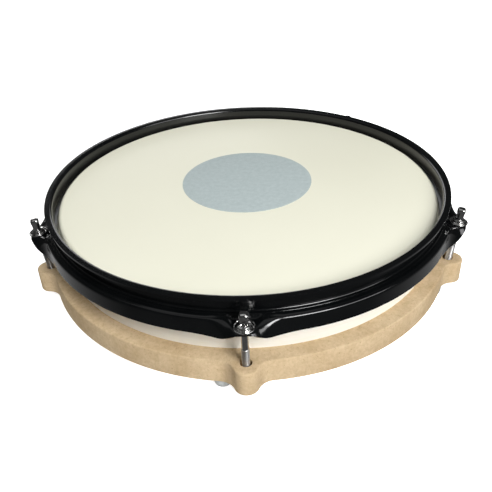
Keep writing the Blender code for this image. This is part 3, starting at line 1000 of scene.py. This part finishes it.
def hoop_material():
    """Satin black powder coat with a faint orange peel."""
    surface = Surface("satin_black_coat", Specular_IOR_Level=0.52)
    peel = surface.noise(700.0, detail=2.0, roughness=0.5)
    cloud = surface.noise(45.0, detail=3.0)
    surface.colour(surface.ramp(cloud, [(0.3, (0.0018, 0.0022, 0.0025)), (0.7, (0.0032, 0.0037, 0.004))]))
    surface.roughness(cloud, 0.12, 0.18)
    surface.bump(peel, 0.00004, 0.2)
    return surface.material


def chrome_material():
    """Chrome plate with faint handling marks."""
    surface = Surface("chrome_plate", Metallic=1.0)
    marks = surface.noise(350.0, detail=5.0, roughness=0.7)
    surface.colour(surface.ramp(marks, [(0.3, (0.62, 0.62, 0.61)), (0.7, (0.76, 0.76, 0.75))]))
    surface.roughness(marks, 0.04, 0.1)
    return surface.material


def thread_material():
    """The rolled thread's rougher plate, darker than the chrome and grained in lighter and darker
    patches.
    """
    surface = Surface("rolled_thread_plate", Metallic=1.0)
    grain = surface.noise(1500.0, detail=3.0, roughness=0.7)
    surface.colour(surface.ramp(grain, [(0.3, (0.48, 0.48, 0.49)), (0.7, (0.76, 0.76, 0.76))]))
    surface.roughness(grain, 0.3, 0.5)
    return surface.material


def zinc_material():
    """Zinc plate with a faint spangle."""
    surface = Surface("zinc_plate", Metallic=1.0)
    spangle = surface.noise(500.0, detail=3.0)
    surface.colour(surface.ramp(spangle, [(0.3, (0.50, 0.49, 0.45)), (0.7, (0.64, 0.62, 0.57))]))
    surface.roughness(spangle, 0.32, 0.48)
    return surface.material


def flesh_material():
    """Drawn aluminium, brushed along the ring."""
    surface = Surface("drawn_aluminium", Metallic=1.0)
    lines = surface.noise(120.0, detail=4.0, stretch=(1.0, 1.0, 30.0))
    surface.colour(surface.ramp(lines, [(0.3, (0.58, 0.59, 0.61)), (0.7, (0.70, 0.71, 0.73))]))
    surface.roughness(lines, 0.3, 0.45)
    return surface.material


def bumper_material():
    """Clear soft plastic that has gone slightly milky."""
    surface = Surface("milky_bumper", IOR=1.45, Transmission_Weight=0.45)
    haze = surface.noise(220.0, detail=3.0)
    surface.colour(surface.ramp(haze, [(0.3, (0.50, 0.52, 0.51)), (0.7, (0.60, 0.62, 0.61))]))
    surface.roughness(haze, 0.25, 0.4)
    return surface.material


def foam_material():
    """Dark open-cell foam, pitted all over."""
    surface = Surface("open_cell_foam", Roughness=0.95, Specular_IOR_Level=0.1)
    cells = surface.noise(900.0, detail=3.0, roughness=0.6)
    surface.colour(surface.ramp(cells, [(0.35, (0.03, 0.03, 0.032)), (0.65, (0.09, 0.09, 0.095))]))
    surface.bump(cells, 0.0004, 0.8)
    return surface.material


def floor_material():
    """A nearly white, even backdrop that glows enough to wash out its shadows."""
    surface = Surface("pale_floor", Roughness=0.9, Specular_IOR_Level=0.0)
    tone = surface.noise(1.5, detail=2.0)
    surface.colour(surface.ramp(tone, [(0.3, (0.93, 0.93, 0.93)), (0.7, (0.95, 0.95, 0.95))]))
    surface.shader.inputs["Emission Color"].default_value = (1.0, 1.0, 1.0, 1.0)
    surface.shader.inputs["Emission Strength"].default_value = FLOOR_GLOW
    return surface.material


# ---------------------------------------------------------------- stage


def add_floor(height):
    """A pale floor that sweeps up into a round wall and takes no part in the pad's light and shine."""
    corners = [(0, height, 0), (SWEEP_RADIUS, height, SWEEP_ROUNDING), (SWEEP_RADIUS, SWEEP_HEIGHT, 0)]
    bm = bmesh.new()
    lathe(bm, rounded(corners, closed=False, steps=SWEEP_STEPS), ROUND_SEGMENTS)
    floor = finish_piece("floor", bm, floor_material())
    floor.visible_glossy = False
    floor.visible_diffuse = False
    floor.visible_shadow = False
    floor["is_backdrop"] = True


def direction(azimuth, elevation):
    """The way from the pad, in degrees; azimuth 0 is straight in front of it and 90 at its right."""
    side, rise = math.radians(azimuth), math.radians(elevation)
    return Vector((math.sin(side) * math.cos(rise), -math.cos(side) * math.cos(rise), math.sin(rise)))


def add_softbox(name, azimuth, elevation, distance, width, height, power, target):
    """A rectangular light that faces target, with lengths in metres and its power in watts."""
    data = bpy.data.lights.new(name, "AREA")
    data.shape = "RECTANGLE"
    data.size = width
    data.size_y = height
    data.energy = power
    light = bpy.data.objects.new(name, data)
    towards = direction(azimuth, elevation)
    light.location = target + towards * distance
    light.rotation_euler = towards.to_track_quat("Z", "Y").to_euler()
    light.visible_camera = False
    bpy.context.scene.collection.objects.link(light)
    return light


def add_world():
    """A studio that is dim in front and brighter at the back, mostly below the horizon."""
    world = bpy.data.worlds.new("studio")
    world.use_nodes = True
    tree = world.node_tree
    place = tree.nodes.new("ShaderNodeTexCoord")
    parts = tree.nodes.new("ShaderNodeSeparateXYZ")
    tree.links.new(place.outputs["Generated"], parts.inputs["Vector"])
    below, above_glow = (map_range(tree, parts.outputs["Y"], *ends) for ends in (GLOW_BELOW, GLOW_ABOVE))
    above = tree.nodes.new("ShaderNodeMath")
    above.operation = "GREATER_THAN"
    above.inputs[1].default_value = 0.0
    tree.links.new(parts.outputs["Z"], above.inputs[0])
    strength = tree.nodes.new("ShaderNodeMix")
    tree.links.new(above.outputs["Value"], strength.inputs["Factor"])
    tree.links.new(below, strength.inputs["A"])
    tree.links.new(above_glow, strength.inputs["B"])
    tree.links.new(strength.outputs["Result"], tree.nodes["Background"].inputs["Strength"])
    tree.nodes["Background"].inputs["Color"].default_value = (1.0, 1.0, 1.0, 1.0)
    bpy.context.scene.world = world


def add_lights(target):
    """Two full lights, two that show only as highlights and two that give none."""
    add_world()
    add_softbox("key", 31, 31, 1.8, 0.7, 0.85, 33.5, target)
    add_softbox("overhead_glint", -90, 84, 2.3, 2.2, 2.2, 5.5, target)
    for glint in (
        add_softbox("side_glint", 58, 31, 1.8, 0.9, 0.6, 8.5, target),
        add_softbox("back_glint", 200, 14, 2.6, 2.0, 0.7, 10.0, target),
    ):
        glint.visible_diffuse = False
    for matte in (
        add_softbox("overhead", -90, 80, 2.2, 3.0, 3.0, 42.0, target),
        add_softbox("floor_bounce", -20, -50, 1.8, 1.6, 0.8, 18.5, target),
    ):
        matte.visible_glossy = False


def add_camera(head_centre):
    """The camera, placed round the head's centre and turned by its own pitch, yaw and roll."""
    back = direction(CAMERA_AZIMUTH, CAMERA_ELEVATION)
    behind = direction(CAMERA_YAW, CAMERA_PITCH)
    yaw, roll = math.radians(CAMERA_YAW), math.radians(CAMERA_ROLL)
    level = Vector((math.cos(yaw), math.sin(yaw), 0.0))
    upright = behind.cross(level)
    right = level * math.cos(roll) + upright * math.sin(roll)
    up = upright * math.cos(roll) - level * math.sin(roll)
    data = bpy.data.cameras.new("camera")
    data.lens = CAMERA_LENS
    data.sensor_width = SENSOR_WIDTH
    camera = bpy.data.objects.new("camera", data)
    turn = Matrix((right, up, behind)).transposed().to_4x4()
    camera.matrix_world = Matrix.Translation(head_centre + back * CAMERA_DISTANCE * MM) @ turn
    bpy.context.scene.collection.objects.link(camera)
    bpy.context.scene.camera = camera


def lug_facts(joints):
    """Where the rods cross their ears and which way they lean, from the joints that they turn on."""
    hinges = [joint for joint in joints if joint["type"] == "hinge"]
    spots = [Vector(joint["pos_m"]) / MM for joint in hinges]
    angles = [math.atan2(spot.y, spot.x) for spot in spots]
    ears = []
    for spot, angle in zip(spots, angles):
        turn = Matrix.Rotation(angle, 4, "Z") @ Matrix.Rotation(ROD_LEAN, 4, "Y")
        ears.append(Matrix.Translation(spot) @ turn)
    return {"places": spots, "angles": angles, "radius": spots[0].xy.length, "ears": ears}


def main():
    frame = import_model()
    cad_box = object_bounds()
    lugs = lug_facts(frame["joints"])
    head_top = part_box("drum_head")[1].z
    chrome = chrome_material()
    zinc = zinc_material()
    build_board(lugs, board_material())
    build_shell(shell_material())
    build_foam(foam_material())
    build_head(film_material())
    build_dot(dot_material())
    build_flesh_hoop(flesh_material())
    build_hoop(lugs, head_top / MM, hoop_material())
    build_rods(lugs, chrome, thread_material())
    build_washers(lugs, chrome)
    build_nuts(zinc)
    build_screws(zinc)
    build_feet(bumper_material())
    add_floor(cad_box[0].z / MM)
    add_lights(Vector((0.0, 0.0, head_top)))
    add_camera(Vector((0.0, 0.0, head_top)))
    bpy.context.scene.view_settings.view_transform = "Standard"
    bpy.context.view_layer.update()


main()
